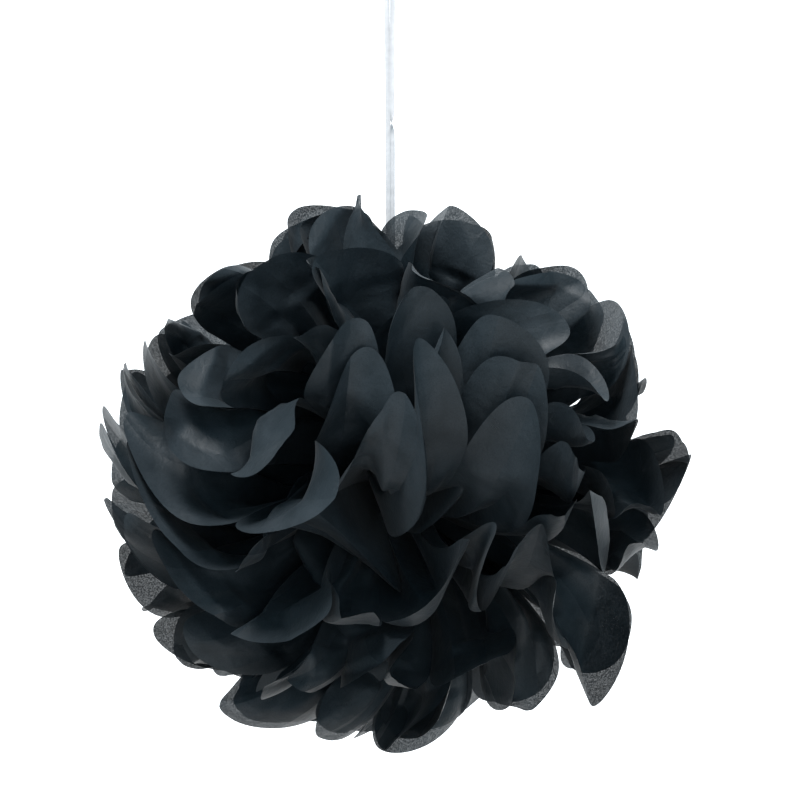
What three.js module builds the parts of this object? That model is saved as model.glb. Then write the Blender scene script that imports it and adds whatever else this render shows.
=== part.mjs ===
// Hanging tissue-paper pom-pom. Sheets of tissue are stacked, pleated together into one strip, cut round
// at both ends and squeezed at the middle by a tie. Each end of each sheet is then pulled open into a fan
// of petals: the fans at the front and those at the back fill a ball. A ribbon looped through the tie
// hangs it. Millimetres, +Z up; the origin is where a hook carries the ribbon's loop.
import * as THREE from "three";

// The paper, before it is opened.
const SHEETS = 9;
const PLEATS = 10; // in each sheet
const SHEET_LENGTH = 428; // along the pleats, from petal tip to petal tip
const PLEAT_WIDTH = 70;
const SCALLOP_HEIGHT = 35; // how far the rounded end stands out past the folds
const PAPER_THICKNESS = 0.3;

// The ball, after it is opened.
const BALL_HEIGHT = 386; // from pole to pole, before crumpling
const POLE_ELEVATION = 73; // degrees, mean rise of the outermost sheets
const CROWDING = 1.3; // how much closer the middle sheets lie than the outermost ones
const FAN_SPAN = 177; // degrees of the half turn that a fan may fill
const FOLD_CHANGE = 0.45; // most of a fold's rise or fall that its opening takes away
const FOLD_CHOICE = 3; // another number gives other folds
const CLOSED_PLEAT = 0.1; // least share of its width that a pleat takes up round the ball
const PLEAT_SLACK = 0.07; // share of a pleat's width that bows out between its folds
const REACH_LOSS = 0.08; // most of a fold's reach that its crumpling takes
const DROOP = 8; // how far a petal at the widest part sags
const CURL = 22; // degrees, the strongest bend of a petal's end

// The crumpled paper between two creases: a ridge and a trough side by side, dents along slanting lines,
// and a turned-over corner.
const RIDGE_SHARE = 1; // of the paper that a petal's narrowing leaves over
const RIDGE_PLACE = 0.33; // share of the half width from the petal's middle to a ridge, on average
const RIDGE_PLACE_CHANGE = 0.25;
const RIDGE_BIAS = 0.5; // most by which a ridge is higher than its trough is deep
const RIDGE_FADE = 0.45; // share of the folds' length over which the ridges die out towards the notches
const PRESSED = 2; // power by which ridges and dents grow from the tie, where they are pressed flat
const DENTS = 2;
const DENT_STEEPNESS = 0.25; // strongest
const DENT_SLANT = 70; // degrees, most
const DENT_OFFSET = 25; // furthest from the petal's middle
const DENT_DISTANCE = 163; // from the tie
const CORNER_TURN = 60; // degrees, strongest
const CORNER_RADIUS = 5;
const CORNER_LEAN = 70; // degrees between the corner's fold and the petal's length, on average
const CORNER_LEAN_CHANGE = 20;
const CORNER_CLEAR = 7; // from the notch to the corner's fold, on average
const CORNER_CLEAR_CHANGE = 5;
const CRUMPLE_CHOICE = 7; // another number gives other ridges, dents and corners

// The hands that fluffed it: at places spread evenly over the ball they pushed the tips aside and turned
// them about the place. In the middle of the front and of the back the tips hang down, and at both sides
// they were twisted to face the front. In degrees.
const PULLS = 20;
const PULL_REACH = 52; // from the place to the tips that stay where they were
const PULL_PUSH = 28; // strongest
const PULL_TURN = 45; // strongest
const PULL_CHOICE = 24; // another number gives other pulls
const FRONT_DROOP = 26;
const SIDE_TWIST = 60;
const TIP_SHARE = 4; // power by which a pull grows from the tie to the tips

// The squeezed middle and its tie.
const GATHER_WIDTH = 16;
const GATHER_LENGTH = 20;
const GATHER_TURN = 80; // degrees from its middle to its side, round the rounded end of the squeezed part
const GATHER_THICKNESS = 2; // of one sheet, where its pleats lie pressed together
const TIE_WIDTH = 5;
const TIE_THICKNESS = 1.4;
const KNOT_RADIUS = 4;

// The ribbon, one length laid double.
const RIBBON_DROP = 370; // from the hook to the middle of the tie
const RIBBON_WIDTH = 3.6;
const RIBBON_THICKNESS = 0.5;
const LOOP_LENGTH = 38; // from the hook down to where the strands meet
const LOOP_WIDTH = 18;

const CLEARANCE = 0.3; // between pieces that touch

const BALL_RADIUS = SHEET_LENGTH / 2;
const STACK_PITCH = GATHER_THICKNESS + CLEARANCE;
const TIE_HALF_WIDTH = GATHER_WIDTH / 2 + CLEARANCE + TIE_THICKNESS;
const TIE_HALF_HEIGHT = (SHEETS * STACK_PITCH + CLEARANCE) / 2 + TIE_THICKNESS;
const STATIONS = [0, 0.5, 0.75, 1]; // where a petal is drawn, as shares of its folds' length
const RIM_CELLS = 6;
const RIBBON_STEP = 24;
const LOOP_STEPS = 12;

const GOLDEN_ANGLE = Math.PI * (3 - Math.sqrt(5));
const LOOP_PEAK = Math.sin(Math.PI / 3) ** 3;

const lerp = THREE.MathUtils.lerp;
const radians = THREE.MathUtils.degToRad;

// A fixed number between -1 and 1 for a petal, so that no two petals are alike.
function vary(a, b, c) {
  const wave = 4758.5453 * Math.sin(12.9898 * a + 78.233 * b + 37.719 * c);
  return 2 * (wave - Math.floor(wave)) - 1;
}

// A direction from the tie: azimuth 0 faces the front, which is -Y.
function direction(azimuth, elevation) {
  const level = Math.cos(elevation);
  return new THREE.Vector3(Math.sin(azimuth) * level, -Math.cos(azimuth) * level, Math.sin(elevation));
}

// Distance from the tie to the end of the folds: the ball is a little lower than it is wide.
function foldReach(elevation) {
  const across = Math.cos(elevation) / BALL_RADIUS;
  const up = Math.sin(elevation) / (BALL_HEIGHT / 2);
  return 1 / Math.hypot(across, up) - SCALLOP_HEIGHT;
}

function sheetElevation(sheet) {
  const place = 1 - (2 * sheet) / (SHEETS - 1);
  return radians(POLE_ELEVATION) * Math.sign(place) * Math.abs(place) ** CROWDING;
}

// How far each fold of a fan stands up (to 1) or lies down (to -1), ridges and valleys in turn.
function foldLifts(sheet, side) {
  return Array.from({ length: PLEATS + 1 }, (_, index) => {
    const chance = (2 * vary(index, FOLD_CHOICE, 3 * side) + vary(index, sheet, 4 * side)) / 3;
    const loss = (FOLD_CHANGE * (1 + chance)) / 2;
    return (index % 2 ? -1 : 1) * (1 - loss);
  });
}

// The folds' directions for one depth of ruffle. A pleat that rises more takes up less of the turn.
function ruffle(middle, lifts, depth) {
  const reach = foldReach(middle);
  const folds = lifts.map((lift) => ({ elevation: middle + (depth * lift) / reach, azimuth: 0 }));
  for (let i = 1; i < folds.length; i++) {
    const chord = PLEAT_WIDTH * (1 - PLEAT_SLACK);
    const rise = reach * (folds[i].elevation - folds[i - 1].elevation);
    const run = Math.sqrt(Math.max(chord ** 2 - rise ** 2, (CLOSED_PLEAT * chord) ** 2));
    const level = Math.cos((folds[i].elevation + folds[i - 1].elevation) / 2);
    folds[i].azimuth = folds[i - 1].azimuth + run / (reach * level);
  }
  return folds;
}

// The fan whose ruffle is just deep enough for the sheet's whole width to fit in its half turn.
function openFan(middle, lifts) {
  let shallow = 0;
  let deep = PLEAT_WIDTH;
  for (let i = 0; i < 40; i++) {
    const depth = (shallow + deep) / 2;
    const fits = ruffle(middle, lifts, depth).at(-1).azimuth <= radians(FAN_SPAN);
    if (fits) deep = depth;
    else shallow = depth;
  }
  const folds = ruffle(middle, lifts, deep);
  const centre = folds.at(-1).azimuth / 2;
  return folds.map((fold) => ({ ...fold, azimuth: fold.azimuth - centre }));
}

// Where a fold lies in the squeezed middle: side is -1 for its front end, 0 for the tie, 1 for its back.
function gatherPoint(index, sheet, side) {
  const turn = radians(lerp(-GATHER_TURN, GATHER_TURN, index / PLEATS));
  const x = (GATHER_WIDTH / 2) * (Math.sin(turn) / Math.sin(radians(GATHER_TURN)));
  const y = side * lerp(TIE_WIDTH, GATHER_LENGTH, Math.cos(turn)) / 2;
  const z = STACK_PITCH * ((SHEETS - 1) / 2 - sheet);
  return new THREE.Vector3(x, y, z);
}

// A fold as a straight crease from the squeezed middle to the notch between two petals.
function creaseOf(fold, index, sheet, side) {
  const reach = foldReach(fold.elevation) * (1 - (REACH_LOSS * (1 + vary(index, sheet, 5 * side))) / 2);
  const notch = direction(fold.azimuth, fold.elevation).multiplyScalar(reach);
  notch.y *= -side;
  return new THREE.Line3(gatherPoint(index, sheet, side), notch);
}

// A pull at a place on the ball, with the axles about which it pushes and turns the tips. Heading 0 leads
// to the right and a quarter turn leads up. It reaches no further than the ribbon, and is then less strong.
function pullAt(azimuth, elevation, push, heading, turn) {
  const centre = direction(azimuth, elevation);
  const right = direction(azimuth + Math.PI / 2, 0);
  const up = new THREE.Vector3().crossVectors(right, centre);
  const way = right.multiplyScalar(Math.cos(heading)).addScaledVector(up, Math.sin(heading));
  const reach = Math.min(radians(PULL_REACH), Math.PI / 2 - elevation);
  const strength = reach / radians(PULL_REACH);
  return { centre, axle: new THREE.Vector3().crossVectors(centre, way), push: strength * push, turn, reach };
}

// Places on a spiral over the whole ball, then the middles of its front and back, then its two sides.
function pullsOverBall() {
  const spiral = Array.from({ length: PULLS }, (_, k) => {
    const elevation = Math.asin(1 - (2 * k + 1) / PULLS);
    const push = (radians(PULL_PUSH) * (3 + vary(k, 2, PULL_CHOICE))) / 4;
    const heading = Math.PI * vary(k, 3, PULL_CHOICE);
    return pullAt(k * GOLDEN_ANGLE, elevation, push, heading, radians(PULL_TURN) * vary(k, 1, PULL_CHOICE));
  });
  const hanging = [0, Math.PI].map((azimuth) => pullAt(azimuth, 0, radians(FRONT_DROOP), -Math.PI / 2, 0));
  const twisted = [-1, 1].map((hand) => pullAt((hand * Math.PI) / 2, 0, 0, 0, radians(SIDE_TWIST)));
  return [...spiral, ...hanging, ...twisted];
}

// Moves a point by every pull. The tips move most and the squeezed middle stays.
function pullOpen(point) {
  const share = Math.min(point.length() / BALL_RADIUS, 1) ** TIP_SHARE;
  for (const { centre, axle, push, turn, reach } of pulls) {
    const away = point.angleTo(centre) / reach;
    if (away >= 1) continue;
    const ease = (share * (1 + Math.cos(Math.PI * away))) / 2;
    point.applyAxisAngle(axle, push * ease);
    point.applyAxisAngle(centre, turn * ease);
  }
  return point;
}

// A ridge and a trough of a petal, or a trough and a ridge: how far across they lie, and their heights for
// one millimetre of paper to spare. Stacked petals were folded as one, so theirs are alike.
function ridgesOf(pleat, side) {
  const hand = Math.sign(vary(pleat, FOLD_CHOICE, 8 * side + CRUMPLE_CHOICE));
  const bias = RIDGE_BIAS * vary(pleat, FOLD_CHOICE, 9 * side + CRUMPLE_CHOICE);
  const first = RIDGE_PLACE_CHANGE * vary(pleat, FOLD_CHOICE, 6 * side + CRUMPLE_CHOICE) - RIDGE_PLACE;
  const second = RIDGE_PLACE_CHANGE * vary(pleat, FOLD_CHOICE, 7 * side + CRUMPLE_CHOICE) + RIDGE_PLACE;
  return [
    { across: first, rise: (hand * RIDGE_SHARE * (1 + bias)) / 4 },
    { across: second, rise: (-hand * RIDGE_SHARE * (1 - bias)) / 4 },
  ];
}

// Lines that slant over a petal. The paper to both sides of a line is lifted.
function dentsOf(pleat, sheet, side) {
  return Array.from({ length: DENTS }, (_, k) => ({
    slant: radians(DENT_SLANT) * vary(pleat + PLEATS * k, sheet, 10 * side + CRUMPLE_CHOICE),
    offset: DENT_OFFSET * vary(pleat + PLEATS * k, sheet, 11 * side + CRUMPLE_CHOICE),
    steepness: DENT_STEEPNESS * vary(pleat + PLEATS * k, sheet, 12 * side + CRUMPLE_CHOICE),
  }));
}

// The corner of a petal's end that is turned over, mostly a little: its fold leans over the petal at a
// distance from the middle of the notches.
function cornerOf(pleat, sheet, side) {
  const lean = radians(CORNER_LEAN + CORNER_LEAN_CHANGE * vary(pleat, sheet, 13 * side + CRUMPLE_CHOICE));
  const clear = CORNER_CLEAR + CORNER_CLEAR_CHANGE * vary(pleat, sheet, 14 * side + CRUMPLE_CHOICE);
  return {
    along: Math.sin(lean),
    across: Math.cos(lean) * Math.sign(vary(pleat, sheet, 15 * side + CRUMPLE_CHOICE)),
    edge: (PLEAT_WIDTH / 2) * Math.cos(lean) + clear,
    turn: radians(CORNER_TURN) * vary(pleat, sheet, 16 * side + CRUMPLE_CHOICE) ** 3,
  };
}

// One petal between two creases. The paper that the creases leave over bows out between them.
function petalOf(creases, pleat, sheet, side) {
  const left = creases[pleat];
  const right = creases[pleat + 1];
  const width = new THREE.Vector3().subVectors(right.end, left.end);
  const span = width.length();
  const out = new THREE.Vector3().addVectors(left.end, right.end).sub(left.start).sub(right.start);
  out.normalize();
  const face = new THREE.Vector3().crossVectors(width, out).normalize();
  const level = 1 - (width.z / span) ** 2;
  const bulge = Math.sqrt((3 * span * Math.max(PLEAT_WIDTH - span, 0)) / 8);
  return {
    left,
    right,
    out,
    face,
    span,
    wide: width.normalize(),
    reach: (left.end.length() + right.end.length()) / 2,
    bow: level * bulge * Math.sign(vary(pleat, sheet, 2 * side)),
    bend: radians(CURL) * vary(sheet, pleat, side),
    ridges: ridgesOf(pleat, side),
    dents: dentsOf(pleat, sheet, side),
    corner: cornerOf(pleat, sheet, side),
  };
}

// How much paper a petal has to spare for its ridges, as the rise and fall that takes it up.
function ridgeSize(span, along) {
  const chord = span * along;
  const fade = Math.min((1 - along) / RIDGE_FADE, 1);
  const over = Math.max(PLEAT_WIDTH - chord, 0) * fade;
  return along ** PRESSED * Math.sqrt((chord + over) ** 2 - chord ** 2);
}

function dentLift(dents, sideways, distance) {
  const lifts = dents.map(({ slant, offset, steepness }) => {
    const line = sideways * Math.cos(slant) + (distance - DENT_DISTANCE) * Math.sin(slant) - offset;
    return steepness * Math.abs(line);
  });
  return lifts.reduce((sum, lift) => sum + lift, 0);
}

// How far a point of a petal's end is lifted and drawn back where its corner rolls over.
function cornerRoll({ along, across, edge, turn }, sideways, height) {
  const past = height > 0 ? Math.max(sideways * across + height * along - edge, 0) : 0;
  const rolled = Math.min(past, CORNER_RADIUS * Math.abs(turn));
  const angle = rolled / CORNER_RADIUS;
  const rest = past - rolled;
  const lift = CORNER_RADIUS * (1 - Math.cos(angle)) + rest * Math.sin(Math.abs(turn));
  return {
    lift: Math.sign(turn) * lift,
    back: CORNER_RADIUS * Math.sin(angle) + rest * Math.cos(turn) - past,
  };
}

// A point of a petal: across is -1 to 1 from crease to crease, along is 0 to 1 from the middle to the
// notches, past is 0 to 1 from there to the rounded edge, and rise is the height of a ridge there.
function petalPoint(petal, across, along, past, rise = 0) {
  const arch = 1 - across ** 2;
  const sideways = (across * PLEAT_WIDTH) / 2;
  const scallop = past * SCALLOP_HEIGHT * Math.sqrt(arch);
  const roll = cornerRoll(petal.corner, sideways, scallop);
  const distance = petal.reach * along + scallop;
  const dent = arch * along ** PRESSED * dentLift(petal.dents, sideways * along, distance);
  const lift = petal.bow * along * arch + rise * ridgeSize(petal.span, along) + dent + roll.lift;
  const height = scallop + petal.corner.along * roll.back;
  const turn = petal.bend * (height / SCALLOP_HEIGHT) + 1e-6;
  const point = petal.left.at(along, new THREE.Vector3());
  point.lerp(petal.right.at(along, new THREE.Vector3()), (1 + across) / 2);
  point.addScaledVector(petal.wide, petal.corner.across * roll.back);
  point.addScaledVector(petal.face, lift * Math.cos(turn) + (height * (1 - Math.cos(turn))) / turn);
  point.addScaledVector(petal.out, (height * Math.sin(turn)) / turn - lift * Math.sin(turn));
  pullOpen(point);
  point.z -= DROOP * (Math.hypot(point.x, point.y) / BALL_RADIUS) ** 2;
  return point;
}

// The middle surface of a sheet: points with a thickness each, and triangles that all face one way.
class Surface {
  points = [];
  thickness = [];
  triangles = [];

  add(point, thickness) {
    this.points.push(point);
    this.thickness.push(thickness);
    return this.points.length - 1;
  }

  // Joins two rows of points that run side by side. Rows may differ in count and may share an end.
  stitch(inner, outer, turned) {
    let i = 0;
    let j = 0;
    while (i + 1 < inner.length || j + 1 < outer.length) {
      const alongInner = (i + 1) / (inner.length - 1) <= (j + 1) / (outer.length - 1);
      const corner = alongInner ? inner[i + 1] : outer[j + 1];
      const triangle = [inner[i], corner, outer[j]];
      if (new Set(triangle).size === 3) this.triangles.push(turned ? triangle.reverse() : triangle);
      if (alongInner) i++;
      else j++;
    }
  }

  normals() {
    const sums = this.points.map(() => new THREE.Vector3());
    for (const triangle of this.triangles) {
      const [a, b, c] = triangle.map((index) => this.points[index]);
      const normal = new THREE.Triangle(a, b, c).getNormal(new THREE.Vector3());
      triangle.forEach((index) => sums[index].add(normal));
    }
    return sums.map((sum) => sum.normalize());
  }

  // Directed edges that belong to one triangle only: the paper's cut edges.
  edges() {
    const used = new Map();
    for (const [a, b, c] of this.triangles) {
      for (const edge of [[a, b], [b, c], [c, a]]) used.set(edge.join(), edge);
    }
    return [...used.values()].filter(([a, b]) => !used.has([b, a].join()));
  }

  // The closed solid that lies half its thickness to either side of the surface.
  solid() {
    const count = this.points.length;
    const normals = this.normals();
    const offset = (sign) => this.points.map((point, i) =>
      point.clone().addScaledVector(normals[i], (sign * this.thickness[i]) / 2));
    const faces = this.triangles.flatMap(([a, b, c]) => [a, b, c, c + count, b + count, a + count]);
    for (const [a, b] of this.edges()) faces.push(a + count, b + count, b, a + count, b, a);
    const geometry = new THREE.BufferGeometry().setFromPoints([...offset(1), ...offset(-1)]);
    geometry.setIndex(faces);
    return geometry;
  }
}

// Places across a petal in equal turns of its rounded edge's half circle, without its two notches.
function insideRim() {
  return Array.from({ length: RIM_CELLS - 1 }, (_, i) => -Math.cos((Math.PI * (i + 1)) / RIM_CELLS));
}

// Adds one end of a sheet, and returns the row of points where it leaves the squeezed middle.
function addFan(surface, sheet, side) {
  const folds = openFan(sheetElevation(sheet), foldLifts(sheet, side));
  const creases = folds.map((fold, index) => creaseOf(fold, index, sheet, side));
  const petals = Array.from({ length: PLEATS }, (_, pleat) => petalOf(creases, pleat, sheet, side));
  const add = (...place) => surface.add(petalPoint(...place), PAPER_THICKNESS);
  const shared = STATIONS.map((along) => [
    add(petals[0], -1, along, 0),
    ...petals.map((petal) => add(petal, 1, along, 0)),
  ]);
  petals.forEach((petal, pleat) => {
    const rows = STATIONS.map((along, station) => {
      const ridges = along > 0 ? petal.ridges : [];
      const points = ridges.map(({ across, rise }) => add(petal, across, along, 0, rise));
      return [shared[station][pleat], ...points, shared[station][pleat + 1]];
    });
    const notches = rows.at(-1);
    const rim = insideRim().map((across) => add(petal, across, 1, 1));
    rows.push([notches[0], ...rim, notches.at(-1)]);
    for (let i = 1; i < rows.length; i++) surface.stitch(rows[i - 1], rows[i], side < 0);
  });
  return shared[0];
}

function makeSheet(sheet) {
  const surface = new Surface();
  const front = addFan(surface, sheet, -1);
  const back = addFan(surface, sheet, 1);
  const middle = front.map((_, index) => surface.add(gatherPoint(index, sheet, 0), GATHER_THICKNESS));
  surface.stitch(front, middle, false);
  surface.stitch(middle, back, false);
  return surface.solid();
}

// A rounded rectangle, with a half-round knot on its top edge if it has one.
function roundedOutline(path, halfWidth, halfHeight, corner, knot) {
  const x = halfWidth - corner;
  const z = halfHeight - corner;
  path.absarc(x, -z, corner, -Math.PI / 2, 0);
  path.absarc(x, z, corner, 0, Math.PI / 2);
  if (knot) path.absarc(0, halfHeight, knot, 0, Math.PI);
  path.absarc(-x, z, corner, Math.PI / 2, Math.PI);
  path.absarc(-x, -z, corner, Math.PI, 1.5 * Math.PI);
  return path;
}

// The band round the squeezed middle, with its knot on top.
function makeTie() {
  const outside = [TIE_HALF_WIDTH, TIE_HALF_HEIGHT, TIE_THICKNESS + CLEARANCE, KNOT_RADIUS];
  const inside = [TIE_HALF_WIDTH - TIE_THICKNESS, TIE_HALF_HEIGHT - TIE_THICKNESS, CLEARANCE, 0];
  const band = roundedOutline(new THREE.Shape(), ...outside);
  band.holes.push(roundedOutline(new THREE.Path(), ...inside));
  const settings = { depth: TIE_WIDTH, curveSegments: 2, bevelEnabled: false };
  const geometry = new THREE.ExtrudeGeometry(band, settings);
  return geometry.translate(0, 0, -TIE_WIDTH / 2).rotateX(Math.PI / 2);
}

// The ribbon's middle line: up one strand from the knot, over the hook and down the other strand.
function ribbonRoute() {
  const strand = (RIBBON_WIDTH + CLEARANCE) / 2;
  const foot = TIE_HALF_HEIGHT + KNOT_RADIUS + CLEARANCE - RIBBON_DROP;
  const steps = Math.round((-LOOP_LENGTH - foot) / RIBBON_STEP);
  const heights = Array.from({ length: steps }, (_, i) => lerp(foot, -LOOP_LENGTH, i / steps));
  const loop = Array.from({ length: LOOP_STEPS + 1 }, (_, i) => {
    const turn = (2 * Math.PI * i) / LOOP_STEPS;
    const bulge = (Math.sin(turn) * Math.sin(turn / 2) ** 2) / LOOP_PEAK;
    const rise = (-LOOP_LENGTH * (1 + Math.cos(turn))) / 2;
    return new THREE.Vector3(-strand * Math.cos(turn / 2), (-LOOP_WIDTH / 2) * bulge, rise);
  });
  return [
    ...heights.map((z) => new THREE.Vector3(-strand, 0, z)),
    ...loop,
    ...heights.reverse().map((z) => new THREE.Vector3(strand, 0, z)),
  ];
}

function makeRibbon() {
  const surface = new Surface();
  const [left, right] = [-0.5, 0.5].map((share) => ribbonRoute().map((point) =>
    surface.add(point.setX(point.x + share * RIBBON_WIDTH), RIBBON_THICKNESS)));
  surface.stitch(left, right, false);
  return surface.solid();
}

function tissue() {
  return new THREE.MeshStandardMaterial({ color: 0x1f262b, roughness: 0.85, metalness: 0 });
}

function thread() {
  return new THREE.MeshStandardMaterial({ color: 0x15191c, roughness: 0.7, metalness: 0 });
}

function satin() {
  return new THREE.MeshStandardMaterial({ color: 0xf1f1f6, roughness: 0.45, metalness: 0 });
}

function named(name, geometry, material) {
  const mesh = new THREE.Mesh(geometry, material);
  mesh.name = name;
  return mesh;
}

const pulls = pullsOverBall();
const ball = new THREE.Group();
ball.position.z = -RIBBON_DROP;
for (let sheet = 0; sheet < SHEETS; sheet++) {
  ball.add(named(`tissue_sheet_${sheet + 1}`, makeSheet(sheet), tissue()));
}
ball.add(named("centre_tie", makeTie(), thread()));

const pomPom = new THREE.Group();
pomPom.add(ball, named("hanging_ribbon", makeRibbon(), satin()));

export default pomPom;
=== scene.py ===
import math

import bpy
import numpy as np
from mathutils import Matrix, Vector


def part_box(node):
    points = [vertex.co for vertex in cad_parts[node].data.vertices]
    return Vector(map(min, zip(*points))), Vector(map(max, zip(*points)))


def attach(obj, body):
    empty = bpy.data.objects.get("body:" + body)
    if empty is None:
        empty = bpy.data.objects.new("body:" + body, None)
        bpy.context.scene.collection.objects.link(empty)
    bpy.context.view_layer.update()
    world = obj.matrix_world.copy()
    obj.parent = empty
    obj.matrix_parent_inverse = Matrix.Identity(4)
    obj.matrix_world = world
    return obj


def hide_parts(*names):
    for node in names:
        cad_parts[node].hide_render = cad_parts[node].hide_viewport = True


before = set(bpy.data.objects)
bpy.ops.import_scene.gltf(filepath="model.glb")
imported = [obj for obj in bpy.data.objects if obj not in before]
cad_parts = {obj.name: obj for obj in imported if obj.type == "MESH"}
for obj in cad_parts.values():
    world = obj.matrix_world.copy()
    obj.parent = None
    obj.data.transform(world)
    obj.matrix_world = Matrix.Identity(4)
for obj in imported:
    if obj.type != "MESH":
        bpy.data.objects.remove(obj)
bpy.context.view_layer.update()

# The view: a level camera a little above the ball's middle, far enough off to keep the petals'
# proportions. The square frame of 800 pixels spans FRAME_WIDTH at the ball's middle.
BALL_MIDDLE = -0.370
FRAME_WIDTH = 0.549
VIEW_DISTANCE = 2.2
VIEW_ASIDE = 0.007
VIEW_RISE = 0.051
camera = bpy.data.objects.new("camera", bpy.data.cameras.new("camera"))
camera.data.sensor_width = 36.0
camera.data.lens = camera.data.sensor_width * VIEW_DISTANCE / FRAME_WIDTH
camera.location = (VIEW_ASIDE, -VIEW_DISTANCE, BALL_MIDDLE + VIEW_RISE)
camera.rotation_euler = (math.pi / 2, 0, 0)
bpy.context.scene.collection.objects.link(camera)
bpy.context.scene.camera = camera
bpy.context.scene.view_settings.view_transform = "Standard"


# The ribbon: one length of narrow white satin laid double, knotted to the tie at both ends. Its loop
# goes over a hook just above the view. One strand turns over once on its way up.
RIBBON_WIDTH = 0.0036
RIBBON_EDGE = 0.00016
RIBBON_BODY = 0.00009
RIBBON_CUP = 0.00035
RIBBON_CELLS = 12
EDGE_SHARPNESS = 10
STRAND_OFFSET = 0.00195
LEFT_BOW = 0.0009
RIGHT_BOW = 0.0003
LEFT_SWAY = 0.16
RIGHT_SWAY = 0.22
LEFT_WAVES = 9
RIGHT_WAVES = 7
LOOP_LENGTH = 0.038
LOOP_WIDTH = 0.018
LOOP_BULGE = 0.65
LOOP_STEPS = 48
STRAND_STEP = 0.003
TURN_OVER = -0.130
TURN_OVER_LENGTH = 0.022


def mesh_piece(name, points, faces):
    """A new object at the origin from points in metres and lists of corners, with smooth shading."""
    mesh = bpy.data.meshes.new(name)
    mesh.from_pydata(np.asarray(points).tolist(), [], faces)
    mesh.update()
    mesh.shade_smooth()
    piece = bpy.data.objects.new(name, mesh)
    bpy.context.scene.collection.objects.link(piece)
    return piece


def unit(vectors):
    return vectors / np.linalg.norm(vectors, axis=-1, keepdims=True)


def turned(vectors, axis, angle):
    """Vectors turned about unit axes by angles in radians."""
    cosine = np.cos(angle)[..., None]
    along = np.sum(vectors * axis, axis=-1, keepdims=True)
    return vectors * cosine + np.cross(axis, vectors) * np.sin(angle)[..., None] + axis * along * (1 - cosine)


def ribbon_route():
    """Points up one strand, round the loop and down the other, with each point's turn about the line."""
    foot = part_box("hanging_ribbon")[0][2]
    heights = np.linspace(foot, -LOOP_LENGTH, int((-LOOP_LENGTH - foot) / STRAND_STEP), endpoint=False)
    drift = (heights - foot) / (-LOOP_LENGTH - foot)
    bow = np.sin(math.pi * drift)
    left = np.stack([-STRAND_OFFSET + LEFT_BOW * bow, 0 * heights, heights], axis=1)
    right = np.stack([STRAND_OFFSET - RIGHT_BOW * bow, 0 * heights, heights], axis=1)
    turn = np.linspace(0, 2 * math.pi, LOOP_STEPS + 1)
    bulge = np.sin(turn) * np.sin(turn / 2) ** 2 / LOOP_BULGE
    loop = np.stack([-STRAND_OFFSET * np.cos(turn / 2), -LOOP_WIDTH / 2 * bulge,
                     -LOOP_LENGTH * (1 + np.cos(turn)) / 2], axis=1)
    points = np.concatenate([left, loop, right[::-1]])
    over = np.clip((TURN_OVER + TURN_OVER_LENGTH / 2 - heights) / TURN_OVER_LENGTH, 0, 1)
    over = math.pi * over * over * (3 - 2 * over)
    left_turns = LEFT_SWAY * np.sin(LEFT_WAVES * drift)
    right_turns = over - RIGHT_SWAY * np.sin(RIGHT_WAVES * drift)
    return points, np.concatenate([left_turns, np.zeros(len(loop)), right_turns[::-1]])


def ribbon_mesh(points, turns):
    """A closed strip along the route, thin in its body and thicker along its two woven edges."""
    line = unit(np.gradient(points, axis=0))
    across = np.tile([1.0, 0.0, 0.0], (len(points), 1))
    across = unit(across - line * np.sum(across * line, axis=1, keepdims=True))
    across = turned(across, line, turns)
    face = np.cross(across, line)
    place = np.linspace(-1, 1, RIBBON_CELLS + 1)
    half = RIBBON_BODY + (RIBBON_EDGE - RIBBON_BODY) * np.abs(place) ** EDGE_SHARPNESS
    cup = -RIBBON_CUP * place ** 2
    side = np.concatenate([place, place[::-1]]) * RIBBON_WIDTH / 2
    rise = np.concatenate([cup + half, (cup - half)[::-1]])
    rings = points[:, None] + across[:, None] * side[None, :, None] + face[:, None] * rise[None, :, None]
    count = len(side)
    faces = []
    for ring in range(len(points) - 1):
        for k in range(count):
            low = ring * count + k
            next_low = ring * count + (k + 1) % count
            faces.append((low, next_low, next_low + count, low + count))
    faces.append(tuple(reversed(range(count))))
    faces.append(tuple(range((len(points) - 1) * count, len(points) * count)))
    return mesh_piece("white_ribbon", rings.reshape(-1, 3), faces)


def weave_group():
    """Fine threads that cross: a height and a colour share, for textiles."""
    group = bpy.data.node_groups.new("fine_weave", "ShaderNodeTree")
    group.interface.new_socket("Threads", in_out="INPUT", socket_type="NodeSocketFloat")
    group.interface.new_socket("Height", in_out="OUTPUT", socket_type="NodeSocketFloat")
    group.interface.new_socket("Shade", in_out="OUTPUT", socket_type="NodeSocketFloat")
    nodes, links = group.nodes, group.links
    given = nodes.new("NodeGroupInput")
    result = nodes.new("NodeGroupOutput")
    place = nodes.new("ShaderNodeTexCoord")
    weft = nodes.new("ShaderNodeTexWave")
    weft.bands_direction = "Z"
    weft.inputs["Distortion"].default_value = 1.2
    weft.inputs["Detail"].default_value = 1.0
    warp = nodes.new("ShaderNodeTexNoise")
    warp.inputs["Detail"].default_value = 2.0
    slow = nodes.new("ShaderNodeMath")
    slow.operation = "MULTIPLY"
    slow.inputs[1].default_value = 0.08
    add = nodes.new("ShaderNodeMath")
    add.operation = "ADD"
    links.new(place.outputs["Object"], weft.inputs["Vector"])
    links.new(place.outputs["Object"], warp.inputs["Vector"])
    links.new(given.outputs["Threads"], weft.inputs["Scale"])
    links.new(given.outputs["Threads"], slow.inputs[0])
    links.new(slow.outputs[0], warp.inputs["Scale"])
    links.new(weft.outputs["Fac"], add.inputs[0])
    links.new(warp.outputs["Fac"], add.inputs[1])
    links.new(add.outputs[0], result.inputs["Height"])
    links.new(warp.outputs["Fac"], result.inputs["Shade"])
    return group


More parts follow.
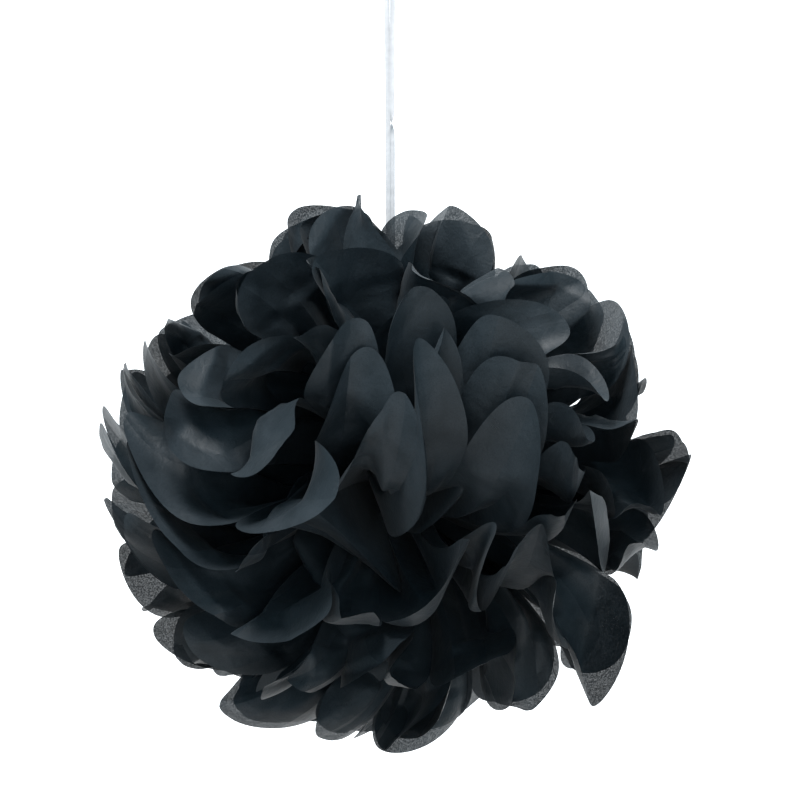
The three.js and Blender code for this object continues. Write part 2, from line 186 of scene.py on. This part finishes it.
def textile(name, dark, light, threads, roughness, sheen, through):
    """A woven finish between two colours; through is how much light comes from behind."""
    material = bpy.data.materials.new(name)
    material.use_nodes = True
    nodes, links = material.node_tree.nodes, material.node_tree.links
    shader = nodes["Principled BSDF"]
    shader.inputs["Roughness"].default_value = roughness
    shader.inputs["Sheen Weight"].default_value = sheen
    weave = nodes.new("ShaderNodeGroup")
    weave.node_tree = bpy.data.node_groups.get("fine_weave") or weave_group()
    weave.inputs["Threads"].default_value = threads
    colour = nodes.new("ShaderNodeValToRGB")
    colour.color_ramp.elements[0].position = 0.3
    colour.color_ramp.elements[0].color = (*dark, 1)
    colour.color_ramp.elements[1].position = 0.7
    colour.color_ramp.elements[1].color = (*light, 1)
    bump = nodes.new("ShaderNodeBump")
    bump.inputs["Strength"].default_value = 0.35
    bump.inputs["Distance"].default_value = 0.0001
    links.new(weave.outputs["Shade"], colour.inputs["Fac"])
    links.new(weave.outputs["Height"], bump.inputs["Height"])
    links.new(colour.outputs["Color"], shader.inputs["Base Color"])
    links.new(bump.outputs["Normal"], shader.inputs["Normal"])
    if through:
        behind = nodes.new("ShaderNodeBsdfTranslucent")
        mix = nodes.new("ShaderNodeMixShader")
        mix.inputs["Fac"].default_value = through
        links.new(colour.outputs["Color"], behind.inputs["Color"])
        links.new(shader.outputs["BSDF"], mix.inputs[1])
        links.new(behind.outputs["BSDF"], mix.inputs[2])
        links.new(mix.outputs["Shader"], nodes["Material Output"].inputs["Surface"])
    return material


ribbon_points, ribbon_turns = ribbon_route()
ribbon = ribbon_mesh(ribbon_points, ribbon_turns)
white_satin = textile("white_satin", dark=(0.53, 0.52, 0.53), light=(0.62, 0.61, 0.62), threads=2600.0,
                      roughness=0.42, sheen=0.1, through=0.2)
ribbon.data.materials.append(white_satin)
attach(ribbon, "root")
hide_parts("hanging_ribbon")


# The tie: a flat black tape pulled tight round the stacked pleats at their middle and knotted on top.
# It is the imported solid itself, with a woven finish.
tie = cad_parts["centre_tie"]
tie.data.materials.clear()
black_tape = textile("black_tape", dark=(0.010, 0.012, 0.014), light=(0.030, 0.034, 0.038), threads=1800.0,
                     roughness=0.75, sheen=0.3, through=0.0)
tie.data.materials.append(black_tape)


# The tissue sheets: nine sheets of thin black tissue, stacked and pleated into one strip, cut round at
# both ends, squeezed by the tie and pulled open one by one. Sizes in millimetres and degrees, as the
# solids have them; the paper between two folds bows, creases and wrinkles towards the tie.
SHEETS = 9
PLEATS = 10
SHEET_LENGTH = 428
PLEAT_WIDTH = 70
SCALLOP_HEIGHT = 35
BALL_HEIGHT = 386
POLE_ELEVATION = 73
CROWDING = 1.3
FAN_SPAN = 177
FOLD_CHANGE = 0.45
FOLD_CHOICE = 3
CLOSED_PLEAT = 0.1
PLEAT_SLACK = 0.07
REACH_LOSS = 0.08
DROOP = 8
CURL = 22
RIDGE_SHARE = 1
RIDGE_PLACE = 0.33
RIDGE_PLACE_CHANGE = 0.25
RIDGE_BIAS = 0.5
RIDGE_FADE = 0.45
PRESSED = 2
DENTS = 2
DENT_STEEPNESS = 0.25
DENT_SLANT = 70
DENT_OFFSET = 25
DENT_DISTANCE = 163
CORNER_TURN = 60
CORNER_RADIUS = 5
CORNER_LEAN = 70
CORNER_LEAN_CHANGE = 20
CORNER_CLEAR = 7
CORNER_CLEAR_CHANGE = 5
CRUMPLE_CHOICE = 7
PULLS = 20
PULL_REACH = 52
PULL_PUSH = 28
PULL_TURN = 45
PULL_CHOICE = 24
FRONT_DROOP = 26
SIDE_TWIST = 60
TIP_SHARE = 4
GATHER_WIDTH = 16
GATHER_LENGTH = 20
GATHER_TURN = 80
GATHER_THICKNESS = 2
STACK_PITCH = 2.3
TIE_WIDTH = 5
BALL_RADIUS = SHEET_LENGTH / 2
GOLDEN_ANGLE = math.pi * (3 - math.sqrt(5))

# The finer creases, wrinkles and crumples of the paper, and the cells of its mesh.
CELLS_ACROSS = 42
CELLS_ALONG = 60
CELLS_TO_TIP = 0.65
RIDGE_COLUMN = 14
RIDGE_ROUNDING = 0.008
CREASE_LIFT = 8.0
WRINKLES = 4
WRINKLE_ROUNDING = 0.04
WRINKLE_END = 0.95
WRINKLE_LIMIT = 1.4
WRINKLE_RISE = 2.2
WRINKLE_PLACE_CHANGE = 0.35
CRUMPLES = 5
CRUMPLE_STEEPNESS = 0.4
CRUMPLE_ROUNDING = 0.5
CRUMPLE_SLANT = 1.2
CRUMPLE_OFFSET = 30
CRUMPLE_DISTANCE = 0.38 * SHEET_LENGTH
CRUMPLE_BASE = 0.2
RIPPLE = 1.8
RIPPLE_WAVES = 1.25
RIPPLE_START = 0.6
CRUMPLING_SEED = 11


def vary(a, b, c):
    """A fixed number between -1 and 1 for a petal."""
    wave = 4758.5453 * np.sin(12.9898 * a + 78.233 * b + 37.719 * c)
    return 2 * (wave - np.floor(wave)) - 1


def direction(azimuth, elevation):
    """Unit vectors from the tie: azimuth 0 faces the front."""
    level = np.cos(elevation)
    return np.stack([np.sin(azimuth) * level, -np.cos(azimuth) * level, np.sin(elevation)], axis=-1)


def fold_reach(elevation):
    across = np.cos(elevation) / BALL_RADIUS
    up = np.sin(elevation) / (BALL_HEIGHT / 2)
    return 1 / np.hypot(across, up) - SCALLOP_HEIGHT


def ruffle(middle, lifts, depth):
    """Directions of a fan's folds for one depth of ruffle."""
    reach = fold_reach(middle)
    chord = PLEAT_WIDTH * (1 - PLEAT_SLACK)
    elevation = middle + depth * lifts / reach
    rise = reach * np.diff(elevation)
    run = np.sqrt(np.maximum(chord ** 2 - rise ** 2, (CLOSED_PLEAT * chord) ** 2))
    level = np.cos((elevation[1:] + elevation[:-1]) / 2)
    return np.concatenate([[0], np.cumsum(run / (reach * level))]), elevation


def open_fan(sheet, side):
    """The folds' directions when the sheet's whole width just fits in its half turn."""
    place = 1 - 2 * sheet / (SHEETS - 1)
    middle = math.radians(POLE_ELEVATION) * np.sign(place) * abs(place) ** CROWDING
    index = np.arange(PLEATS + 1)
    odds = (2 * vary(index, FOLD_CHOICE, 3 * side) + vary(index, sheet, 4 * side)) / 3
    lifts = (-1.0) ** index * (1 - FOLD_CHANGE * (1 + odds) / 2)
    shallow, deep = 0.0, float(PLEAT_WIDTH)
    for _ in range(40):
        depth = (shallow + deep) / 2
        if ruffle(middle, lifts, depth)[0][-1] <= math.radians(FAN_SPAN):
            deep = depth
        else:
            shallow = depth
    azimuth, elevation = ruffle(middle, lifts, deep)
    return azimuth - azimuth[-1] / 2, elevation


def gather_point(index, sheet, side):
    """Where a fold, or a place between two, lies in the squeezed middle."""
    turn = np.radians(-GATHER_TURN + 2 * GATHER_TURN * index / PLEATS)
    x = GATHER_WIDTH / 2 * np.sin(turn) / math.sin(math.radians(GATHER_TURN))
    y = side * (TIE_WIDTH + (GATHER_LENGTH - TIE_WIDTH) * np.cos(turn)) / 2
    return np.stack([x, y, np.full_like(x, STACK_PITCH * ((SHEETS - 1) / 2 - sheet))], axis=-1)


def pull_at(azimuth, elevation, push, heading, turn):
    """A pull at a place on the ball, with the axle of its push; it reaches no further than the ribbon."""
    centre = direction(azimuth, elevation)
    right = direction(azimuth + math.pi / 2, 0.0)
    way = right * math.cos(heading) + np.cross(right, centre) * math.sin(heading)
    reach = min(math.radians(PULL_REACH), math.pi / 2 - elevation)
    return centre, np.cross(centre, way), push * reach / math.radians(PULL_REACH), turn, reach


def pulls_over_ball():
    """Places on a spiral over the whole ball, then the middles of its front and back, then its sides."""
    pulls = []
    for k in range(PULLS):
        elevation = math.asin(1 - (2 * k + 1) / PULLS)
        push = math.radians(PULL_PUSH) * (3 + vary(k, 2, PULL_CHOICE)) / 4
        turn = math.radians(PULL_TURN) * vary(k, 1, PULL_CHOICE)
        pulls.append(pull_at(k * GOLDEN_ANGLE, elevation, push, math.pi * vary(k, 3, PULL_CHOICE), turn))
    for azimuth in (0, math.pi):
        pulls.append(pull_at(azimuth, 0, math.radians(FRONT_DROOP), -math.pi / 2, 0))
    for azimuth in (-math.pi / 2, math.pi / 2):
        pulls.append(pull_at(azimuth, 0, 0, 0, math.radians(SIDE_TWIST)))
    return pulls


def pull_open(points):
    """Moves points by every pull; the tips move most and the squeezed middle stays."""
    share = np.minimum(np.linalg.norm(points, axis=-1) / BALL_RADIUS, 1) ** TIP_SHARE
    for centre, axle, push, turn, reach in pulls_over_ball():
        away = np.arccos(np.clip(np.sum(unit(points) * centre, axis=-1), -1, 1)) / reach
        ease = share * (1 + np.cos(math.pi * np.minimum(away, 1))) / 2
        points = turned(points, axle, push * ease)
        points = turned(points, centre, turn * ease)
    return points


def ridge_places(pleat, side):
    """Where the ridge and the trough of each petal run, between its folds at -1 and 1."""
    first = RIDGE_PLACE_CHANGE * vary(pleat, FOLD_CHOICE, 6 * side + CRUMPLE_CHOICE) - RIDGE_PLACE
    second = RIDGE_PLACE_CHANGE * vary(pleat, FOLD_CHOICE, 7 * side + CRUMPLE_CHOICE) + RIDGE_PLACE
    return first, second


def ridges(across, pleat, side):
    """The creased ridge and trough of each petal, which rise and fall by RIDGE_SHARE in all."""
    hand = np.sign(vary(pleat, FOLD_CHOICE, 8 * side + CRUMPLE_CHOICE))
    bias = RIDGE_BIAS * vary(pleat, FOLD_CHOICE, 9 * side + CRUMPLE_CHOICE)
    first, second = ridge_places(pleat, side)
    peak = hand * RIDGE_SHARE * (1 + bias) / 4
    trough = -hand * RIDGE_SHARE * (1 - bias) / 4
    slopes = [peak / (first + 1), (trough - peak) / (second - first), -trough / (1 - second)]

    def kink(knot, before, after):
        return (after - before) / 2 * (np.hypot(across - knot, RIDGE_ROUNDING) + across - knot)

    return slopes[0] * (across + 1) + kink(first, *slopes[:2]) + kink(second, *slopes[1:])


def creases_to_rim(across, pleat, sheet, side):
    """The lift of the two straight creases that each petal keeps from its folding, up to its rim."""
    lift = 0
    for k, knot in enumerate(ridge_places(pleat, side)):
        tent = np.minimum((1 + across) / (1 + knot), (1 - across) / (1 - knot))
        lift = lift + CREASE_LIFT * vary(pleat, sheet, (17 + k) * side + CRUMPLE_CHOICE) * tent
    return lift


def dents(sideways, distance, pleat, sheet, side):
    """The lift of the paper to both sides of the main lines that slant over each petal."""
    lift = 0
    for k in range(DENTS):
        slant = math.radians(DENT_SLANT) * vary(pleat + PLEATS * k, sheet, 10 * side + CRUMPLE_CHOICE)
        offset = DENT_OFFSET * vary(pleat + PLEATS * k, sheet, 11 * side + CRUMPLE_CHOICE)
        steepness = DENT_STEEPNESS * vary(pleat + PLEATS * k, sheet, 12 * side + CRUMPLE_CHOICE)
        line = sideways * np.cos(slant) + (distance - DENT_DISTANCE) * np.sin(slant) - offset
        lift = lift + steepness * np.hypot(line, CRUMPLE_ROUNDING)
    return lift


def corner_roll(sideways, height, pleat, sheet, side):
    """How far the points of a petal's end are lifted, and drawn aside and down, by its turned-over corner."""
    lean = np.radians(CORNER_LEAN + CORNER_LEAN_CHANGE * vary(pleat, sheet, 13 * side + CRUMPLE_CHOICE))
    clear = CORNER_CLEAR + CORNER_CLEAR_CHANGE * vary(pleat, sheet, 14 * side + CRUMPLE_CHOICE)
    across = np.cos(lean) * np.sign(vary(pleat, sheet, 15 * side + CRUMPLE_CHOICE))
    turn = math.radians(CORNER_TURN) * vary(pleat, sheet, 16 * side + CRUMPLE_CHOICE) ** 3
    edge = PLEAT_WIDTH / 2 * np.cos(lean) + clear
    past = np.maximum(sideways * across + height * np.sin(lean) - edge, 0) * (height > 0)
    rolled = np.minimum(past, CORNER_RADIUS * np.abs(turn))
    rest = past - rolled
    bent = CORNER_RADIUS * (1 - np.cos(rolled / CORNER_RADIUS))
    lift = np.sign(turn) * (bent + rest * np.sin(np.abs(turn)))
    back = CORNER_RADIUS * np.sin(rolled / CORNER_RADIUS) + rest * np.cos(turn) - past
    return lift, across * back, np.sin(lean) * back


def wrinkles(place, chance, shape):
    """Finer zigzags across the petals, one for each, which rise and fall by 1 in all and end at 0."""
    shift = chance.uniform(-WRINKLE_PLACE_CHANGE, WRINKLE_PLACE_CHANGE, (*shape, WRINKLES))
    knots = (np.arange(1, WRINKLES + 1) + shift) / (WRINKLES + 1)
    turns = (-1.0) ** np.arange(WRINKLES) * chance.uniform(0.5, 1.0, (*shape, WRINKLES))
    turns = turns * chance.choice([-1, 1], (*shape, 1))

    def height(x):
        kinks = np.hypot(x[..., None] - knots[:, None, None], WRINKLE_ROUNDING)
        return np.sum(turns[:, None, None] * kinks, axis=-1)

    ends = [height(np.full((1, 1, 1), edge)) for edge in (0.0, 1.0)]
    profile = height(place) - ends[0] - (ends[1] - ends[0]) * place
    return profile / np.sum(np.abs(np.diff(profile, axis=2)), axis=(1, 2), keepdims=True)


def crumple(u, v, chance, shape):
    """Sharp folds at random slants over the flat paper: each lifts the paper to both sides of a line."""
    lift = 0
    for _ in range(CRUMPLES):
        slant = chance.uniform(-CRUMPLE_SLANT, CRUMPLE_SLANT, (*shape, 1, 1))
        offset = chance.uniform(-CRUMPLE_OFFSET, CRUMPLE_OFFSET, (*shape, 1, 1))
        strength = chance.uniform(-1, 1, (*shape, 1, 1))
        strength = CRUMPLE_STEEPNESS * strength * np.abs(strength)
        line = u * np.cos(slant) + (v - CRUMPLE_DISTANCE) * np.sin(slant) - offset
        lift = lift + strength * np.hypot(line, CRUMPLE_ROUNDING)
    return lift


def fan_points(sheet, side, chance):
    """The points of one end of a sheet, as [pleat, row, column], base to rim and crease to crease."""
    azimuth, elevation = open_fan(sheet, side)
    index = np.arange(PLEATS + 1)
    reach = fold_reach(elevation) * (1 - REACH_LOSS * (1 + vary(index, sheet, 5 * side)) / 2)
    start = gather_point(index, sheet, side)
    end = direction(azimuth, elevation) * reach[:, None]
    end[:, 1] *= -side
    pleat = np.arange(PLEATS)
    width = end[1:] - end[:-1]
    span = np.linalg.norm(width, axis=1)
    out = unit(end[1:] + end[:-1] - start[1:] - start[:-1])
    face = unit(np.cross(width, out))
    level = 1 - (width[:, 2] / span) ** 2
    bow = level * np.sqrt(3 * span * np.maximum(PLEAT_WIDTH - span, 0) / 8)
    bow = bow * np.sign(vary(pleat, sheet, 2 * side))
    bend = np.radians(CURL) * vary(sheet, pleat, side)

    # One column of points lies on each petal's ridge and one on its trough.
    marks = [0, RIDGE_COLUMN, CELLS_ACROSS - RIDGE_COLUMN, CELLS_ACROSS]
    angle = np.stack([np.interp(np.arange(CELLS_ACROSS + 1), marks, np.arcsin([-1, first, second, 1]))
                      for first, second in zip(*ridge_places(pleat, side))])[:, None, :]
    across = np.sin(angle)
    place = (1 + across) / 2
    arch = np.cos(angle) ** 2
    row = np.linspace(0, 1, CELLS_ALONG + 1)[None, :, None] ** CELLS_TO_TIP
    length = (reach[1:] + reach[:-1])[:, None, None] / 2
    distance = row * (length + SCALLOP_HEIGHT * np.sqrt(arch))
    along = np.minimum(distance / length, 1)
    height = np.maximum(distance - length, 0)

    # Paper that the narrowing petal leaves over stands in a ridge and a trough, and in finer wrinkles.
    each = pleat[:, None, None]
    sideways = across * PLEAT_WIDTH / 2
    chord = span[:, None, None] * along
    spare = np.maximum(PLEAT_WIDTH - chord, 0)
    over = spare * np.minimum((1 - along) / RIDGE_FADE, 1)
    lift = bow[:, None, None] * along * arch
    lift = lift + along ** PRESSED * np.sqrt((chord + over) ** 2 - chord ** 2) * ridges(across, each, side)
    over = spare * np.clip((WRINKLE_END - along) / WRINKLE_END * WRINKLE_RISE, 0, 1)
    wrinkle = np.minimum(np.sqrt((chord + over) ** 2 - chord ** 2), WRINKLE_LIMIT * distance)
    lift = lift + wrinkle * wrinkles(place, chance, (PLEATS,))

    lift = lift + creases_to_rim(across, each, sheet, side) * along ** PRESSED

    # Dents and finer crumples at any slant, and a rim that sways.
    lift = lift + dents(sideways * along, distance, each, sheet, side) * arch * along ** PRESSED
    crumpled = crumple(sideways * np.maximum(along, CRUMPLE_BASE), distance, chance, (PLEATS,))
    lift = lift + crumpled * arch * np.minimum(2 * along, 1)
    wave, start_turn, tilt = np.moveaxis(chance.uniform(-1, 1, (PLEATS, 3)), 1, 0)[..., None, None]
    near_rim = np.clip((row - RIPPLE_START) / (1 - RIPPLE_START), 0, 1) ** 2
    sway = wave * np.sin(2 * math.pi * RIPPLE_WAVES * place + 3 * start_turn) + tilt * across
    lift = lift + RIPPLE * near_rim * np.sqrt(arch) * sway

    rolled = corner_roll(sideways, height, each, sheet, side)
    lift = lift + rolled[0]
    aside = rolled[1]
    height = height + rolled[2]

    roll = bend[:, None, None] * height / SCALLOP_HEIGHT + 1e-6
    left = start[:-1, None, None] + (end - start)[:-1, None, None] * along[..., None]
    right = start[1:, None, None] + (end - start)[1:, None, None] * along[..., None]
    points = left + (right - left) * place[..., None] + unit(width)[:, None, None] * aside[..., None]
    rise = lift * np.cos(roll) + height * (1 - np.cos(roll)) / roll
    forth = height * np.sin(roll) / roll - lift * np.sin(roll)
    points = points + face[:, None, None] * rise[..., None] + out[:, None, None] * forth[..., None]
    points = pull_open(points)
    points[..., 2] -= DROOP * (np.hypot(points[..., 0], points[..., 1]) / BALL_RADIUS) ** 2
    return points


def sheet_mesh(sheet, chance):
    """One sheet: its front fan and its back fan of one layer, and its pressed pleats under the tie."""
    fans = [fan_points(sheet, side, chance) for side in (-1, 1)]
    points, faces, creases = [], [], []
    for fan, side in zip(fans, (-1, 1)):
        first = sum(len(rows) for rows in points)
        inner = first + np.arange(fan[:, :, :-1].size // 3).reshape(PLEATS, CELLS_ALONG + 1, CELLS_ACROSS)
        last = first + inner.size + np.arange(CELLS_ALONG + 1)
        number = np.concatenate([inner, np.concatenate([inner[1:, :, :1], last[None, :, None]])], axis=2)
        points += [fan[:, :, :-1].reshape(-1, 3), fan[-1, :, -1]]
        corners = [number[:, :-1, :-1], number[:, :-1, 1:], number[:, 1:, 1:], number[:, 1:, :-1]]
        faces += np.stack(corners[::side], axis=-1).reshape(-1, 4).tolist()
        columns = (0, RIDGE_COLUMN, CELLS_ACROSS - RIDGE_COLUMN)
        creases += [number[:, :, column].ravel() for column in columns] + [last]
    first = sum(len(rows) for rows in points)
    index = np.arange(PLEATS + 1)
    strip = np.stack([gather_point(index, sheet, side) for side in (-1, 0, 1)])
    half = np.array([0, 0, GATHER_THICKNESS / 2])
    points += [(strip + half).reshape(-1, 3), (strip - half).reshape(-1, 3)]
    top = first + np.arange(strip.size // 3).reshape(3, PLEATS + 1)
    low = top + top.size
    for corners in ([top[:-1, :-1], top[:-1, 1:], top[1:, 1:], top[1:, :-1]],
                    [low[:-1, :-1], low[1:, :-1], low[1:, 1:], low[:-1, 1:]]):
        faces += np.stack(corners, axis=-1).reshape(-1, 4).tolist()
    rim = np.concatenate([top[0], top[1:, -1], top[-1, -2::-1], top[-2:0:-1, 0]])
    after = np.roll(rim, -1)
    faces += np.stack([rim, rim + top.size, after + top.size, after], axis=-1).tolist()
    points = np.concatenate(points) / 1000 + np.array([0, 0, BALL_MIDDLE])
    piece = mesh_piece(f"tissue_petals_{sheet + 1}", points, faces)
    corners = np.empty(2 * len(piece.data.edges), dtype=int)
    piece.data.edges.foreach_get("vertices", corners)
    on_crease = np.isin(corners, np.concatenate(creases)).reshape(-1, 2).all(axis=1)
    sharp = piece.data.attributes.new("sharp_edge", "BOOLEAN", "EDGE")
    sharp.data.foreach_set("value", on_crease)
    return piece


def tissue_material():
    """Thin dyed tissue: matt, mottled and crinkled, with gaps between its fibres that light comes through."""
    material = bpy.data.materials.new("black_tissue")
    material.use_nodes = True
    material.use_transparent_shadow = False
    nodes, links = material.node_tree.nodes, material.node_tree.links
    place = nodes.new("ShaderNodeTexCoord")

    def noise(scale, detail, distortion=0.0):
        texture = nodes.new("ShaderNodeTexNoise")
        texture.inputs["Scale"].default_value = scale
        texture.inputs["Detail"].default_value = detail
        texture.inputs["Distortion"].default_value = distortion
        links.new(place.outputs["Object"], texture.inputs["Vector"])
        return texture.outputs["Fac"]

    def ramp(value, low, dark, high, light):
        """Two colours, or two greys, at two values of a noise, and what lies between them."""
        colours = nodes.new("ShaderNodeValToRGB")
        colours.color_ramp.elements[0].position = low
        colours.color_ramp.elements[0].color = (*dark, 1)
        colours.color_ramp.elements[1].position = high
        colours.color_ramp.elements[1].color = (*light, 1)
        links.new(value, colours.inputs["Fac"])
        return colours.outputs["Color"]

    fibres = noise(1050.0, 3.0)
    dye = noise(45.0, 3.0, 0.4)
    crinkle = noise(160.0, 5.0, 0.8)
    both = nodes.new("ShaderNodeMath")
    both.operation = "MULTIPLY"
    links.new(fibres, both.inputs[0])
    links.new(dye, both.inputs[1])
    shader = nodes["Principled BSDF"]
    shader.inputs["Roughness"].default_value = 0.54
    shader.inputs["Specular IOR Level"].default_value = 0.26
    shader.inputs["Sheen Weight"].default_value = 0.03
    shader.inputs["Sheen Roughness"].default_value = 0.5
    colour = ramp(both.outputs[0], 0.14, (0.004, 0.008, 0.011), 0.40, (0.016, 0.022, 0.027))
    cover = ramp(fibres, 0.42, (0.988, 0.988, 0.988), 0.68, (0.905, 0.905, 0.905))
    links.new(colour, shader.inputs["Base Color"])
    links.new(cover, shader.inputs["Alpha"])
    bump = nodes.new("ShaderNodeBump")
    bump.inputs["Strength"].default_value = 0.4
    bump.inputs["Distance"].default_value = 0.0012
    links.new(crinkle, bump.inputs["Height"])
    links.new(bump.outputs["Normal"], shader.inputs["Normal"])
    return material


tissue = tissue_material()
crumpling = np.random.default_rng(CRUMPLING_SEED)
for number in range(SHEETS):
    petals = sheet_mesh(number, crumpling)
    petals.data.materials.append(tissue)
    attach(petals, "root")
    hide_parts(f"tissue_sheet_{number + 1}")


# The studio: a pale floor well below the ball and a bright white backdrop well behind it, which also
# shines through single layers of tissue. A soft lamp hangs above and in front, a broad weak one in front,
# and a cool fill comes from all round.
FLOOR_DROP = 1.6
STUDIO_HALF = 3.0
BACKDROP_TOP = 2.4
BACKDROP_DISTANCE = 1.5


def stage_plane(name, corners, colour, glow):
    """A pale plane that shows only its side towards the ball, so that it hides nothing from behind."""
    plane = mesh_piece(name, corners, [(0, 1, 2, 3)])
    material = bpy.data.materials.new(name)
    material.use_nodes = True
    shader = material.node_tree.nodes["Principled BSDF"]
    shader.inputs["Base Color"].default_value = (*colour, 1)
    shader.inputs["Roughness"].default_value = 0.9
    shader.inputs["Emission Color"].default_value = (1, 1, 1, 1)
    shader.inputs["Emission Strength"].default_value = glow
    nodes, links = material.node_tree.nodes, material.node_tree.links
    front = nodes.new("ShaderNodeMath")
    front.operation = "SUBTRACT"
    front.inputs[0].default_value = 1.0
    links.new(nodes.new("ShaderNodeNewGeometry").outputs["Backfacing"], front.inputs[1])
    links.new(front.outputs[0], shader.inputs["Alpha"])
    plane.data.materials.append(material)


def soft_lamp(name, place, aim, size, power):
    lamp = bpy.data.objects.new(name, bpy.data.lights.new(name, "AREA"))
    lamp.data.size = size
    lamp.data.energy = power
    lamp.location = place
    away = np.array(place) - np.array(aim)
    tip = math.atan2(math.hypot(away[0], away[1]), away[2])
    lamp.rotation_euler = (tip, 0, math.atan2(away[0], -away[1]))
    bpy.context.scene.collection.objects.link(lamp)


front_edge = [(side * STUDIO_HALF, -STUDIO_HALF, -FLOOR_DROP) for side in (-1, 1)]
back_edge = [(side * STUDIO_HALF, BACKDROP_DISTANCE, -FLOOR_DROP) for side in (-1, 1)]
top_edge = [(side * STUDIO_HALF, BACKDROP_DISTANCE, BACKDROP_TOP) for side in (-1, 1)]
stage_plane("studio_floor", front_edge + back_edge[::-1], colour=(0.85, 0.74, 0.68), glow=0.0)
stage_plane("studio_backdrop", back_edge + top_edge[::-1], colour=(0.85, 0.85, 0.86), glow=1.0)
world = bpy.data.worlds.new("studio")
world.use_nodes = True
nodes, links = world.node_tree.nodes, world.node_tree.links
cool_fill = nodes["Background"]
cool_fill.inputs["Color"].default_value = (0.57, 0.89, 1.07, 1)
cool_fill.inputs["Strength"].default_value = 0.6
pale_surround = nodes.new("ShaderNodeBackground")
pale_surround.inputs["Color"].default_value = (0.86, 0.86, 0.87, 1)
seen_or_fill = nodes.new("ShaderNodeMixShader")
links.new(nodes.new("ShaderNodeLightPath").outputs["Is Camera Ray"], seen_or_fill.inputs["Fac"])
links.new(cool_fill.outputs[0], seen_or_fill.inputs[1])
links.new(pale_surround.outputs[0], seen_or_fill.inputs[2])
links.new(seen_or_fill.outputs[0], nodes["World Output"].inputs["Surface"])
bpy.context.scene.world = world
soft_lamp("top_lamp", place=(-0.35, -0.75, 1.05), aim=(0, 0, BALL_MIDDLE), size=0.6, power=49.0)
soft_lamp("front_fill", place=(0.4, -2.0, -1.1), aim=(0, 0, BALL_MIDDLE), size=1.8, power=20.0)
